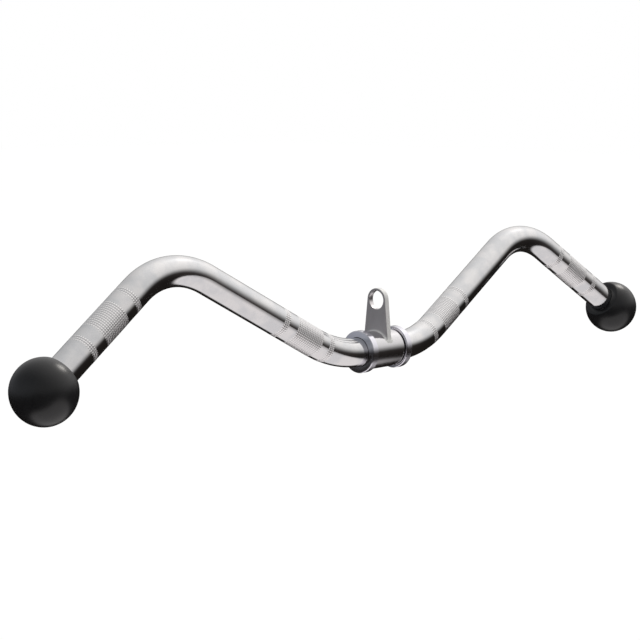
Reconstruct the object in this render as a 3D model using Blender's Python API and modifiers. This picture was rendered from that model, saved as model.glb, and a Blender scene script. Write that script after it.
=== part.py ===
# Cable curl bar: a bent grip bar that turns in a barrel with a welded eye plate.
# Metres, +Z up. The origin is the centre of the eye plate's hole, and the bar's ends lie at -X and +X.
import bmesh
import bpy
from math import asin, atan2, cos, pi, radians, sin, sqrt, tan
from mathutils import Matrix, Vector

# Bent bar. Its straight middle runs between the collars' outer faces, and the rest is measured
# along the centre line from there to each end.
bar_diameter = 0.028
inner_bend_radius = 0.1204
inner_rise = radians(29.2)
inner_arm_length = 0.1413
outer_bend_radius = 0.079
outer_turn = radians(62.8)
outer_arm_length = 0.130
bar_lean = radians(12.0)

# Barrel that turns on the bar, its bushes and its thrust washers
barrel_length = 0.0388
barrel_wall = 0.0019
barrel_chamfer = 0.0004
bush_wall = 0.0019
bush_spacing = 0.0108
washer_thickness = 0.0008
washer_width = 0.0030

# Stop collars fixed on the bar
collar_wall = 0.00625
collar_width = 0.0085
collar_edge_chamfer = 0.0007
collar_mouth_chamfer = 0.0010

# Set screws, two in each collar, sunk below its outside
screw_diameter = 0.005
screw_recess = 0.0013
screw_socket_across_flats = 0.0025
screw_socket_depth = 0.0022
screw_angles = (radians(45), radians(-45))

# Eye plate, whose foot ends inside the barrel's widest place. eye_height is from the bar's axis.
plate_thickness = 0.006
eye_height = 0.0485
eye_hole_diameter = 0.018
eye_rim_width = 0.0024
plate_foot_inset = 0.0028
plate_foot_overrun = 0.0006
plate_edge_round = 0.0005
weld_radius = 0.0017

# Balls on the ends of the bar
ball_wall = 0.0146
ball_flat_width = 0.0062
ball_centre_beyond_bar = 0.004
ball_mouth_chamfer = 0.0006
stud_diameter = 0.012
stud_in_bar = 0.018
stud_socket_across_flats = 0.006
stud_socket_depth = 0.006
insert_wall = 0.0022
insert_length = 0.018

# Clearances: pieces that turn on each other, and pieces that are fixed together
running_clearance = 0.0001
seat_gap = 0.0003
merge_distance = 0.00001

# Facets
round_sides = 48
small_sides = 24
hexagon_sides = 6
bar_sides = 32
weld_sides = 10
weld_side_steps = 12
weld_end_step = radians(22.5)
bend_step = radians(4.0)
ball_step = radians(6.0)
plate_top_step = radians(7.5)
smooth_angle = radians(30)

# Widths that follow from the bar and the walls round it. A faceted bore is widened by
# facet_stretch, so that its flat facets clear what is inside.
facet_stretch = 1 / cos(pi / round_sides)
bar_radius = bar_diameter / 2
running_bore = (bar_radius + running_clearance) * facet_stretch
fixed_bore = (bar_radius + seat_gap) * facet_stretch
bush_outer = running_bore + bush_wall
barrel_bore = (bush_outer + seat_gap) * facet_stretch
barrel_radius = barrel_bore + barrel_wall
barrel_saddle_radius = (barrel_radius + seat_gap) * facet_stretch
collar_radius = fixed_bore + collar_wall
plate_top_radius = eye_hole_diameter / 2 + eye_rim_width
insert_across_flats = stud_diameter + 2 * (seat_gap + insert_wall)
ball_radius = bar_radius + ball_wall

# Places along the turning axis
barrel_half_length = barrel_length / 2
collar_start = barrel_half_length + washer_thickness + 2 * seat_gap
collar_end = collar_start + collar_width


def clear_scene():
    for old in list(bpy.data.objects):
        bpy.data.objects.remove(old, do_unlink=True)


def new_collection(name):
    found = bpy.data.collections.new(name)
    bpy.context.scene.collection.children.link(found)
    return found


def new_material(name, colour, metallic, roughness):
    made = bpy.data.materials.new(name)
    made.use_nodes = True
    shader = made.node_tree.nodes["Principled BSDF"]
    shader.inputs["Base Color"].default_value = (*colour, 1.0)
    shader.inputs["Metallic"].default_value = metallic
    shader.inputs["Roughness"].default_value = roughness
    return made


clear_scene()
parts = new_collection("cable_ez_bar")
cutters = new_collection("cutters")
plated_steel = new_material("plated_steel", (0.78, 0.77, 0.77), 1.0, 0.12)
plated_bar = new_material("plated_bar", (0.80, 0.79, 0.79), 1.0, 0.08)
black_rubber = new_material("black_rubber", (0.018, 0.018, 0.020), 0.0, 0.38)
bronze = new_material("bronze", (0.55, 0.37, 0.18), 1.0, 0.35)
black_nylon = new_material("black_nylon", (0.02, 0.02, 0.02), 0.0, 0.5)
black_oxide_steel = new_material("black_oxide_steel", (0.06, 0.06, 0.065), 1.0, 0.4)


def new_empty(name, place, lean):
    # The turning axis runs along this empty's X
    empty = bpy.data.objects.new(name, None)
    empty.location = place
    empty.rotation_euler = (lean, 0, 0)
    parts.objects.link(empty)
    return empty


hanger_frame = new_empty("hanger_frame", (0, 0, -eye_height), 0.0)
bar_frame = new_empty("bar_frame", (0, 0, -eye_height), -bar_lean)

# Local +Z turned to point along +X or -X of the parent
along_x = Matrix.Rotation(pi / 2, 4, "Y")
along_minus_x = Matrix.Rotation(-pi / 2, 4, "Y")


def side_matrix(side):
    return along_x if side > 0 else along_minus_x


def add_object(name, mesh, material, parent, placed, collection=parts):
    made = bpy.data.objects.new(name, mesh)
    made.parent = parent
    made.matrix_local = placed
    collection.objects.link(made)
    if material:
        mesh.materials.append(material)
    return made


def as_cutter(cutter):
    cutter.hide_render = True
    cutter.display_type = "WIRE"
    return cutter


def cut(target, cutter):
    boolean = target.modifiers.new("cut_" + cutter.name, "BOOLEAN")
    boolean.operation = "DIFFERENCE"
    boolean.solver = "EXACT"
    boolean.object = cutter


def shade_round(mesh):
    mesh.shade_smooth()
    mesh.set_sharp_from_angle(angle=smooth_angle)


def turned(name, profile, closed, steps, material, parent, placed):
    # profile holds (radius, height) points that run down the outer side, and up the bore if it is closed
    mesh = bpy.data.meshes.new(name)
    count = len(profile)
    edges = [(i, i + 1) for i in range(count - 1)]
    if closed:
        edges.append((count - 1, 0))
    mesh.from_pydata([(radius, 0, height) for radius, height in profile], edges, [])
    made = add_object(name, mesh, material, parent, placed)
    screw = made.modifiers.new("turn", "SCREW")
    screw.axis = "Z"
    screw.angle = 2 * pi
    screw.steps = steps
    screw.render_steps = steps
    screw.use_merge_vertices = True
    screw.merge_threshold = merge_distance
    screw.use_smooth_shade = True
    return made


def cylinder(name, radius, low, high, sides, material, parent, placed, collection=parts):
    # A solid cylinder or prism from height low to height high on local Z
    mesh = bpy.data.meshes.new(name)
    shape = bmesh.new()
    bmesh.ops.create_cone(
        shape, cap_ends=True, segments=sides, radius1=radius, radius2=radius, depth=high - low)
    bmesh.ops.translate(shape, verts=shape.verts, vec=(0, 0, (low + high) / 2))
    shape.to_mesh(mesh)
    shape.free()
    shade_round(mesh)
    return add_object(name, mesh, material, parent, placed, collection)


def cutting_cylinder(name, radius, low, high, sides, parent, placed):
    made = cylinder(name, radius, low, high, sides, None, parent, placed, cutters)
    return as_cutter(made)


def hexagon_radius(across_flats):
    return across_flats / 2 / cos(pi / hexagon_sides)


def bevel_resolution(sides):
    # A curve's round bevel has four sides, and two more for each step of its resolution
    return (sides - 4) // 2


def curve_to_mesh(curve_object, name, material, collection=parts):
    # Turns a curve object into a mesh object in the same place, with its caps welded
    bpy.context.view_layer.update()
    evaluated = curve_object.evaluated_get(bpy.context.evaluated_depsgraph_get())
    mesh = bpy.data.meshes.new_from_object(evaluated)
    mesh.name = name
    shape = bmesh.new()
    shape.from_mesh(mesh)
    bmesh.ops.remove_doubles(shape, verts=shape.verts, dist=merge_distance)
    shape.to_mesh(mesh)
    shape.free()
    shade_round(mesh)
    placed = curve_object.matrix_local.copy()
    made = add_object(name, mesh, material, curve_object.parent, placed, collection)
    bpy.data.objects.remove(curve_object, do_unlink=True)
    return made


def arc(centre, radius, start, end, step):
    # Points on an arc, both ends included
    count = max(2, round(abs(end - start) / step))
    angles = [start + (end - start) * i / count for i in range(count + 1)]
    return [(centre[0] + radius * cos(angle), centre[1] + radius * sin(angle)) for angle in angles]


def arm_direction():
    # Direction of the outer arm in the bar's own plane, from the bend towards the ball
    fall = inner_rise - outer_turn
    return Vector((cos(fall), sin(fall)))


def half_route():
    # Centre line of the right half in the bar's own plane, from the middle to the end
    route = [(0.0, 0.0)]
    centre = (collar_end, inner_bend_radius)
    route += arc(centre, inner_bend_radius, -pi / 2, -pi / 2 + inner_rise, bend_step)
    rise = Vector((cos(inner_rise), sin(inner_rise)))
    peak_start = Vector(route[-1]) + inner_arm_length * rise
    centre = peak_start + outer_bend_radius * Vector((sin(inner_rise), -cos(inner_rise)))
    top = pi / 2 + inner_rise
    route += arc(centre, outer_bend_radius, top, top - outer_turn, bend_step)
    route.append(tuple(Vector(route[-1]) + outer_arm_length * arm_direction()))
    return route


def end_matrix(side):
    # Placed at the bar's end with local +Z pointing out along the outer arm
    x, z = half_route()[-1]
    direction = arm_direction()
    turn = atan2(direction.x, direction.y)
    return Matrix.Translation((side * x, 0, z)) @ Matrix.Rotation(side * turn, 4, "Y")


def build_bar():
    right = half_route()
    route = [(-x, z) for x, z in reversed(right[1:])] + right
    curve = bpy.data.curves.new("curl_bar_route", "CURVE")
    curve.dimensions = "3D"
    curve.twist_mode = "Z_UP"
    curve.bevel_depth = bar_radius
    curve.bevel_resolution = bevel_resolution(bar_sides)
    curve.use_fill_caps = True
    spline = curve.splines.new("POLY")
    spline.points.add(len(route) - 1)
    for point, (x, z) in zip(spline.points, route):
        point.co = (x, 0, z, 1)
    drawn = add_object("curl_bar_route", curve, None, bar_frame, Matrix.Identity(4))
    bar = curve_to_mesh(drawn, "curl_bar", plated_bar)
    for side, label in ((-1, "left"), (1, "right")):
        hole = cutting_cylinder(
            "stud_hole_" + label, stud_diameter / 2 + seat_gap, -stud_in_bar - seat_gap, seat_gap,
            small_sides, bar_frame, end_matrix(side))
        cut(bar, hole)


def ring_profile(inner, outer, low, high, outer_chamfer, mouth_chamfer, inner_chamfer):
    # A ring's section: the outer side from top to bottom, then the bore from bottom to top.
    # The top end carries outer_chamfer and mouth_chamfer, the bottom end inner_chamfer.
    profile = [(outer, high - outer_chamfer)]
    if outer_chamfer:
        profile.insert(0, (outer - outer_chamfer, high))
    if inner_chamfer:
        profile += [(outer, low + inner_chamfer), (outer - inner_chamfer, low)]
    else:
        profile.append((outer, low))
    profile.append((inner, low))
    if mouth_chamfer:
        profile += [(inner, high - mouth_chamfer), (inner + mouth_chamfer, high)]
    else:
        profile.append((inner, high))
    return profile


def build_barrel():
    profile = ring_profile(barrel_bore, barrel_radius, -barrel_half_length, barrel_half_length,
                           barrel_chamfer, 0, barrel_chamfer)
    turned("hanger_barrel", profile, True, round_sides, plated_steel, hanger_frame, along_x)
    for side, label in ((-1, "left"), (1, "right")):
        placed = side_matrix(side)
        bush = ring_profile(running_bore, bush_outer, bush_spacing / 2, barrel_half_length, 0, 0, 0)
        turned("bush_" + label, bush, True, round_sides, bronze, hanger_frame, placed)
        low = barrel_half_length + seat_gap
        bore = running_bore + seat_gap
        washer = ring_profile(bore, bore + washer_width, low, low + washer_thickness, 0, 0, 0)
        turned("thrust_washer_" + label, washer, True, round_sides, black_nylon, hanger_frame, placed)


def build_collar(side, label):
    profile = ring_profile(fixed_bore, collar_radius, collar_start, collar_end, collar_edge_chamfer,
                           collar_mouth_chamfer, collar_edge_chamfer)
    placed = side_matrix(side)
    collar = turned("stop_collar_" + label, profile, True, round_sides, plated_steel, bar_frame, placed)
    middle = (collar_start + collar_end) / 2
    seat = bar_radius + seat_gap
    top = collar_radius - screw_recess
    for number, angle in enumerate(screw_angles, 1):
        # Local +Z points out of the bar, towards the back of the collar
        out = Matrix.Translation((side * middle, 0, 0)) @ Matrix.Rotation(angle, 4, "X")
        out = out @ Matrix.Rotation(-pi / 2, 4, "X")
        name = label + "_" + str(number)
        hole = cutting_cylinder(
            "screw_hole_" + name, screw_diameter / 2 + seat_gap, bar_radius - seat_gap,
            collar_radius + seat_gap, small_sides, bar_frame, out)
        cut(collar, hole)
        screw = cylinder(
            "collar_screw_" + name, screw_diameter / 2, seat, top, small_sides, black_oxide_steel,
            bar_frame, out)
        socket = cutting_cylinder(
            "collar_screw_socket_" + name, hexagon_radius(screw_socket_across_flats),
            top - screw_socket_depth, top + seat_gap, hexagon_sides, bar_frame, out)
        cut(screw, socket)


def plate_foot():
    # Half width and height of the place where the plate's side meets the barrel
    half_width = barrel_radius - plate_foot_inset
    return half_width, sqrt(barrel_radius ** 2 - half_width ** 2)


def plate_lean():
    # Lean of the plate's side, which runs from the foot and touches the round top
    half_width, height = plate_foot()
    rise = eye_height - height
    return atan2(half_width, rise) - asin(plate_top_radius / sqrt(half_width ** 2 + rise ** 2))


def plate_outline(grow):
    # Across is local X, up is local Y, both from the bar's axis. It runs a little below the meeting
    # place, where the barrel is cut away from it.
    lean = plate_lean()
    low = plate_foot()[1] - plate_foot_overrun - grow
    outline = arc((0, eye_height), plate_top_radius + grow, lean, pi - lean, plate_top_step)
    x, y = outline[0]
    widened = x + (y - low) * tan(lean)
    return [(widened, low)] + outline + [(-widened, low)]


upright_plane = Matrix(((0, 0, 1, 0), (1, 0, 0, 0), (0, 1, 0, 0), (0, 0, 0, 1)))


def plate_curve(name, grow):
    curve = bpy.data.curves.new(name, "CURVE")
    curve.dimensions = "2D"
    curve.fill_mode = "BOTH"
    curve.extrude = plate_thickness / 2 - plate_edge_round + grow
    curve.bevel_depth = plate_edge_round
    curve.bevel_resolution = 1
    curve.offset = -plate_edge_round
    loops = [plate_outline(grow)]
    if grow == 0:
        hole = arc((0, eye_height), eye_hole_diameter / 2 * facet_stretch, 0, 2 * pi, 2 * pi / round_sides)
        loops.append(hole[:-1])
    for loop in loops:
        spline = curve.splines.new("POLY")
        spline.points.add(len(loop) - 1)
        for point, (x, y) in zip(spline.points, loop):
            point.co = (x, y, 0, 1)
        spline.use_cyclic_u = True
    return add_object(name, curve, None, hanger_frame, upright_plane)


def build_eye_plate():
    plate = curve_to_mesh(plate_curve("eye_plate_outline", 0), "eye_plate", plated_steel)
    saddle = cutting_cylinder(
        "barrel_saddle", barrel_saddle_radius, -barrel_length, barrel_length, round_sides,
        hanger_frame, along_x)
    cut(plate, saddle)


def weld_route():
    # A loop on the barrel's surface round the foot of the plate, with half-round ends.
    # It is laid out flat, across and along, and then bent round the barrel.
    side = (plate_thickness + weld_radius) / 2
    straight = barrel_radius * asin(plate_foot()[0] / barrel_radius) + weld_radius / 2 - side
    half = [(side, straight * (2 * i / weld_side_steps - 1)) for i in range(weld_side_steps)]
    half += arc((0, straight), side, 0, pi, weld_end_step)[:-1]
    loop = half + [(-x, -along) for x, along in half]
    turns = [(x, along / barrel_radius) for x, along in loop]
    return [(x, barrel_radius * sin(turn), barrel_radius * cos(turn)) for x, turn in turns]


def build_weld():
    curve = bpy.data.curves.new("eye_weld_route", "CURVE")
    curve.dimensions = "3D"
    curve.bevel_depth = weld_radius
    curve.bevel_resolution = bevel_resolution(weld_sides)
    route = weld_route()
    spline = curve.splines.new("POLY")
    spline.points.add(len(route) - 1)
    for point, place in zip(spline.points, route):
        point.co = (*place, 1)
    spline.use_cyclic_u = True
    drawn = add_object("eye_weld_route", curve, None, hanger_frame, Matrix.Identity(4))
    weld = curve_to_mesh(drawn, "eye_weld", plated_steel)
    grown = plate_curve("plate_clearance_outline", seat_gap)
    plate_cutter = as_cutter(curve_to_mesh(grown, "plate_clearance", None, cutters))
    barrel_cutter = cutting_cylinder(
        "weld_saddle", barrel_saddle_radius, -barrel_length, barrel_length, round_sides,
        hanger_frame, along_x)
    cut(weld, barrel_cutter)
    cut(weld, plate_cutter)


def build_ball(side, label):
    # Heights run out along the arm from the bar's end
    centre = ball_centre_beyond_bar
    flat_drop = sqrt(ball_radius ** 2 - (fixed_bore + ball_flat_width) ** 2)
    flat = centre - flat_drop
    placed = end_matrix(side)
    profile = arc((0, centre), ball_radius, pi / 2, -asin(flat_drop / ball_radius), ball_step)
    profile[0] = (0, centre + ball_radius)
    profile += [(fixed_bore + ball_mouth_chamfer, flat), (fixed_bore, flat + ball_mouth_chamfer),
                (fixed_bore, seat_gap), (0, seat_gap)]
    ball = turned("ball_" + label, profile, False, round_sides, black_rubber, bar_frame, placed)
    low = 2 * seat_gap
    high = low + insert_length
    pocket = cutting_cylinder(
        "insert_pocket_" + label, hexagon_radius(insert_across_flats + 2 * seat_gap), 0,
        high + seat_gap, hexagon_sides, bar_frame, placed)
    cut(ball, pocket)
    insert = cylinder(
        "ball_insert_" + label, hexagon_radius(insert_across_flats), low, high, hexagon_sides,
        black_oxide_steel, bar_frame, placed)
    bore = cutting_cylinder(
        "insert_bore_" + label, stud_diameter / 2 + seat_gap, low - seat_gap, high + seat_gap, small_sides,
        bar_frame, placed)
    cut(insert, bore)
    tip = high - seat_gap
    stud = cylinder(
        "ball_stud_" + label, stud_diameter / 2, -stud_in_bar, tip, small_sides, black_oxide_steel,
        bar_frame, placed)
    socket = cutting_cylinder(
        "stud_socket_" + label, hexagon_radius(stud_socket_across_flats), tip - stud_socket_depth,
        tip + seat_gap, hexagon_sides, bar_frame, placed)
    cut(stud, socket)


build_bar()
build_barrel()
build_eye_plate()
build_weld()
for side, label in ((-1, "left"), (1, "right")):
    build_collar(side, label)
    build_ball(side, label)
bpy.context.view_layer.update()
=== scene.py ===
from math import asin, atan2, ceil, cos, pi, radians, sin, sqrt, tan
import bpy
import bmesh
from mathutils import Matrix, Vector


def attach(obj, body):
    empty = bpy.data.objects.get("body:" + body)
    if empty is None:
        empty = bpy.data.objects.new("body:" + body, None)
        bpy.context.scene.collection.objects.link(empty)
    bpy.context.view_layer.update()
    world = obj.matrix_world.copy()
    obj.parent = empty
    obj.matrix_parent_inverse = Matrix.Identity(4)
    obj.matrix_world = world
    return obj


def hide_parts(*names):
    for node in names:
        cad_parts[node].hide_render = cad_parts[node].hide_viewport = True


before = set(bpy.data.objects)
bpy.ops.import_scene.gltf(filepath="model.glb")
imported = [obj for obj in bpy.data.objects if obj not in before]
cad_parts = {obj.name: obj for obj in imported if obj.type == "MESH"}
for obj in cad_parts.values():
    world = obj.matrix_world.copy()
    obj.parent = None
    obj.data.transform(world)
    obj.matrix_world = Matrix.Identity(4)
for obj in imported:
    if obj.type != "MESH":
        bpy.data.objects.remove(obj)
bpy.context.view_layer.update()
print("frame loaded,", len(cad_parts), "solids")

mm = 0.001
mergeDistance = 0.0005 * mm
bpy.context.scene.view_settings.view_transform = "Standard"

# Where things sit: the eye's centre is the origin, the barrel turns below it, the bar leans back
layout = {"eyeHeight": 48.5 * mm, "barLean": radians(12)}
hangerPlace = Matrix.Translation((0, 0, -layout["eyeHeight"]))
barPlace = hangerPlace @ Matrix.Rotation(-layout["barLean"], 4, "X")
ends = ((-1, "left"), (1, "right"))


# Helpers
def hexColour(code):
    # sRGB hex to linear
    parts = [int(code[i:i + 2], 16) / 255 for i in (1, 3, 5)]
    return [c / 12.92 if c <= 0.04045 else ((c + 0.055) / 1.055) ** 2.4 for c in parts] + [1.0]


def setInputs(tree, node, inputs):
    # A value goes on the socket, a node or an output is linked to it
    for key, value in inputs.items():
        if isinstance(value, bpy.types.Node):
            value = value.outputs[0]
        if isinstance(value, bpy.types.NodeSocket):
            tree.links.new(value, node.inputs[key])
        else:
            node.inputs[key].default_value = value


def addNode(tree, kind, inputs=None, **settings):
    # A kind without Node in it is a shader node. A Mix takes colours at 6 and 7 and gives one at 2,
    # or takes vectors at 4 and 5 and gives one at 1
    node = tree.nodes.new(kind if "Node" in kind else "ShaderNode" + kind)
    for key, value in settings.items():
        setattr(node, key, value)
    setInputs(tree, node, inputs or {})
    return node


def compass(azimuth, height):
    # Unit vector, azimuth in degrees from +Y towards +X, height above the horizon
    a, h = radians(azimuth), radians(height)
    return Vector((cos(h) * sin(a), cos(h) * cos(a), sin(h)))


def addObject(name, data):
    made = bpy.data.objects.new(name, data)
    bpy.context.scene.collection.objects.link(made)
    return made


def bakeModifiers(piece):
    # The finished shape as a plain mesh, with no modifier left
    graph = bpy.context.evaluated_depsgraph_get()
    mesh = bpy.data.meshes.new_from_object(piece.evaluated_get(graph))
    piece.modifiers.clear()
    old, piece.data = piece.data, mesh
    bpy.data.meshes.remove(old)
    mesh.name = piece.name
    return piece


def tidyMesh(piece, place=Matrix.Identity(4), sharpAngle=30):
    # Closes seams, turns faces outwards, moves the mesh to its place and marks hard edges
    mesh = piece.data
    shape = bmesh.new()
    shape.from_mesh(mesh)
    bmesh.ops.remove_doubles(shape, verts=shape.verts, dist=mergeDistance)
    bmesh.ops.dissolve_degenerate(shape, edges=shape.edges, dist=mergeDistance)
    bmesh.ops.recalc_face_normals(shape, faces=shape.faces)
    shape.transform(place)
    for face in shape.faces:
        face.smooth = True
    shape.to_mesh(mesh)
    shape.free()
    mesh.set_sharp_from_angle(angle=radians(sharpAngle))
    return piece


def loft(name, rings, material, closed, place=Matrix.Identity(4), sharpAngle=30):
    # Skin over rings that all have the same number of points; closed joins last to first
    count = len(rings[0])
    points = [p for ring in rings for p in ring]
    faces = []
    for r in range(len(rings) if closed else len(rings) - 1):
        a, b = r * count, (r + 1) % len(rings) * count
        faces += [(a + i, a + (i + 1) % count, b + (i + 1) % count, b + i) for i in range(count)]
    mesh = bpy.data.meshes.new(name)
    mesh.from_pydata(points, [], faces)
    mesh.materials.append(material)
    return tidyMesh(addObject(name, mesh), place, sharpAngle)


def newGeometryTree(name, *sockets):
    # A tree with named inputs: gives the tree, the inputs' outlets inside it and their identifiers
    tree = bpy.data.node_groups.new(name, "GeometryNodeTree")
    ids = {label: tree.interface.new_socket(label, in_out="INPUT", socket_type="NodeSocket" + kind).identifier
           for label, kind in sockets}
    tree.interface.new_socket("Mesh", in_out="OUTPUT", socket_type="NodeSocketGeometry")
    return tree, tree.nodes.new("NodeGroupInput").outputs, ids


def endTree(tree, shape, material):
    real = addNode(tree, "GeometryNodeRealizeInstances", {"Geometry": shape})
    dressed = addNode(tree, "GeometryNodeSetMaterial", {"Geometry": real, "Material": material})
    addNode(tree, "NodeGroupOutput", {0: dressed})


def runTree(piece, tree, ids, values):
    modifier = piece.modifiers.new(tree.name, "NODES")
    modifier.node_group = tree
    for label, value in values.items():
        modifier[ids[label]] = value
    return bakeModifiers(piece)


# Materials
def newMaterial(name):
    made = bpy.data.materials.new(name)
    made.use_nodes = True
    return made, made.node_tree, made.node_tree.nodes["Principled BSDF"]


def place3d(tree, shift=(0, 0, 0)):
    # Object coordinates in metres, moved by shift
    spot = addNode(tree, "TexCoord")
    return addNode(tree, "Mapping", {"Vector": spot.outputs["Object"], "Location": shift})


def faceAlongX(tree):
    # 1 on a face square to the X axis, 0 on one along it
    spot = addNode(tree, "TexCoord")
    normal = addNode(tree, "SeparateXYZ", {0: spot.outputs["Normal"]})
    return addNode(tree, "Math", {0: normal}, operation="ABSOLUTE")


def chromedBar():
    # Chrome over bent steel: a mirror with a faint orange peel, rubbed patches and a thin cloudy film;
    # its knurl is duller, with a painted highlight on its cushions and painted shade in its grooves
    made, tree, shader = newMaterial("chromedBar")
    knurlRough = 0.195  # what the knurl adds to the roughness
    grooveShadePower = 2.5  # higher for narrower lines of painted shade in the grooves
    where = place3d(tree)
    smudge = addNode(tree, "TexNoise", {
        "Vector": where, "Scale": 1 / (38 * mm), "Detail": 5.0, "Roughness": 0.62})
    rubbed = addNode(tree, "MapRange", {
        "Value": smudge, "From Min": 0.35, "From Max": 0.7, "To Min": 0.085, "To Max": 0.135})
    groove = addNode(tree, "Attribute", attribute_name="groove").outputs["Fac"]
    knurled = addNode(tree, "Attribute", attribute_name="knurled").outputs["Fac"]
    rough = addNode(tree, "Math", {0: knurled, 1: knurlRough, 2: rubbed}, operation="MULTIPLY_ADD")
    # Painted highlight and shade: the knurl's tops are tinted near white and its grooves grey, by groove
    # depth
    deep = addNode(tree, "Math", {0: groove, 1: grooveShadePower}, operation="POWER")
    knurlHighlightAndShade = addNode(
        tree, "Mix", {"Factor": deep, 6: hexColour("#FFFEFE"), 7: hexColour("#B4B2B4")}, data_type="RGBA")
    film = addNode(tree, "TexNoise", {"Vector": where, "Scale": 1 / (17 * mm), "Detail": 3.0})
    cloud = addNode(tree, "MapRange", {"Value": film, "From Min": 0.4, "From Max": 0.6})
    plain = addNode(
        tree, "Mix", {"Factor": cloud, 6: hexColour("#DDDEE0"), 7: hexColour("#EBEAEA")}, data_type="RGBA")
    tint = addNode(
        tree, "Mix", {"Factor": knurled, 6: plain.outputs[2], 7: knurlHighlightAndShade.outputs[2]}, data_type="RGBA")
    peel = addNode(tree, "TexNoise", {"Vector": where, "Scale": 1 / (4 * mm)})
    bump = addNode(tree, "Bump", {"Height": peel, "Distance": 0.006 * mm})
    setInputs(tree, shader, {
        "Base Color": tint.outputs[2], "Metallic": 1.0, "Roughness": rough, "Normal": bump})
    return made


def turnedPlate(name, colour, roundRough, faceRough, lineDepth):
    # Plating over lathe-turned steel: fine rings round the X axis, duller on the faced ends
    made, tree, shader = newMaterial(name)
    where = place3d(tree, (0, 0, layout["eyeHeight"]))
    parts = addNode(tree, "SeparateXYZ", {0: where})
    flat = addNode(tree, "CombineXYZ", {1: parts.outputs[1], 2: parts.outputs[2]})
    radius = addNode(tree, "VectorMath", {0: flat}, operation="LENGTH")
    along = addNode(tree, "Math", {0: parts, 1: radius.outputs["Value"]})
    # Coarser than real feed marks, so that they show
    lines = addNode(
        tree, "TexNoise", {"W": along, "Scale": 1 / (0.9 * mm), "Detail": 3.0}, noise_dimensions="1D")
    bump = addNode(tree, "Bump", {"Height": lines, "Distance": lineDepth})
    base = addNode(tree, "MapRange", {
        "Value": faceAlongX(tree), "From Min": 0.5, "From Max": 0.95, "To Min": roundRough,
        "To Max": faceRough})
    patch = addNode(tree, "TexNoise", {"Vector": where, "Scale": 1 / (14 * mm), "Detail": 4.0})
    vary = addNode(tree, "MapRange", {
        "Value": patch, "From Min": 0.3, "From Max": 0.7, "To Min": 0.85, "To Max": 1.2})
    rough = addNode(tree, "Math", {0: base, 1: vary}, operation="MULTIPLY")
    setInputs(tree, shader, {
        "Base Color": hexColour(colour), "Metallic": 1.0, "Roughness": rough, "Normal": bump})
    return made


def groundPlate():
    # Plating over ground flat bar: soft reflections with a fine upright grain, and a satin outer edge
    made, tree, shader = newMaterial("groundPlate")
    waveShare = 6.0  # height of the slow wave against the grain
    satinRough = 0.35  # what the satin edge adds to the roughness
    where = place3d(tree)
    stretched = addNode(tree, "Mapping", {"Vector": where, "Scale": (1, 1, 0.12)})
    grain = addNode(tree, "TexNoise", {"Vector": stretched, "Scale": 1 / (0.8 * mm), "Detail": 3.0})
    wave = addNode(tree, "TexNoise", {"Vector": where, "Scale": 1 / (9 * mm)})
    both = addNode(tree, "Math", {0: wave, 1: waveShare, 2: grain}, operation="MULTIPLY_ADD")
    bump = addNode(tree, "Bump", {"Height": both, "Distance": 0.004 * mm})
    facing = faceAlongX(tree)
    base = addNode(tree, "MapRange", {
        "Value": facing, "From Min": 0.6, "From Max": 0.95, "To Min": 0.3, "To Max": 0.72})
    # The hole keeps its mirror: satin starts outside a 10 mm radius from the eye's centre
    cross = addNode(tree, "VectorMath", {0: where, 1: (0, 1, 1)}, operation="MULTIPLY")
    cross = addNode(tree, "VectorMath", {0: cross}, operation="LENGTH")
    outer = addNode(tree, "MapRange", {
        "Value": cross.outputs["Value"], "From Min": 9.8 * mm, "From Max": 10.2 * mm})
    satin = addNode(tree, "MapRange", {
        "Value": facing, "From Min": 0.5, "From Max": 0.9, "To Min": 1.0, "To Max": 0.0})
    satin = addNode(tree, "Math", {0: satin, 1: outer}, operation="MULTIPLY")
    base = addNode(tree, "Math", {0: satin, 1: satinRough, 2: base}, operation="MULTIPLY_ADD")
    vary = addNode(tree, "MapRange", {
        "Value": wave, "From Min": 0.3, "From Max": 0.7, "To Min": 0.92, "To Max": 1.1})
    metal = addNode(tree, "MapRange", {"Value": satin, "To Min": 1.0, "To Max": 0.4})
    rough = addNode(tree, "Math", {0: base, 1: vary}, operation="MULTIPLY")
    tint = addNode(
        tree, "Mix", {"Factor": satin, 6: hexColour("#E6E2E3"), 7: hexColour("#FBFBFA")}, data_type="RGBA")
    setInputs(tree, shader, {
        "Base Color": tint.outputs[2], "Metallic": metal, "Roughness": rough, "Normal": bump})
    return made


def mouldedRubber():
    # Solid black rubber from a smooth mould: satin, with a fine skin and faint handling marks
    made, tree, shader = newMaterial("mouldedRubber")
    where = place3d(tree)
    skin = addNode(tree, "TexNoise", {"Vector": where, "Scale": 1 / (0.9 * mm), "Detail": 3.0})
    marks = addNode(tree, "TexNoise", {
        "Vector": where, "Scale": 1 / (17 * mm), "Detail": 6.0, "Roughness": 0.65, "Distortion": 0.6})
    bump = addNode(tree, "Bump", {"Height": skin, "Distance": 0.003 * mm})
    rough = addNode(tree, "MapRange", {
        "Value": marks, "From Min": 0.3, "From Max": 0.75, "To Min": 0.27, "To Max": 0.33})
    tone = addNode(tree, "MapRange", {"Value": marks, "From Min": 0.35, "From Max": 0.8})
    tint = addNode(
        tree, "Mix", {"Factor": tone, 6: hexColour("#1D1D1F"), 7: hexColour("#252527")}, data_type="RGBA")
    setInputs(tree, shader, {"Base Color": tint.outputs[2], "IOR": 1.5, "Roughness": rough, "Normal": bump})
    return made


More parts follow.
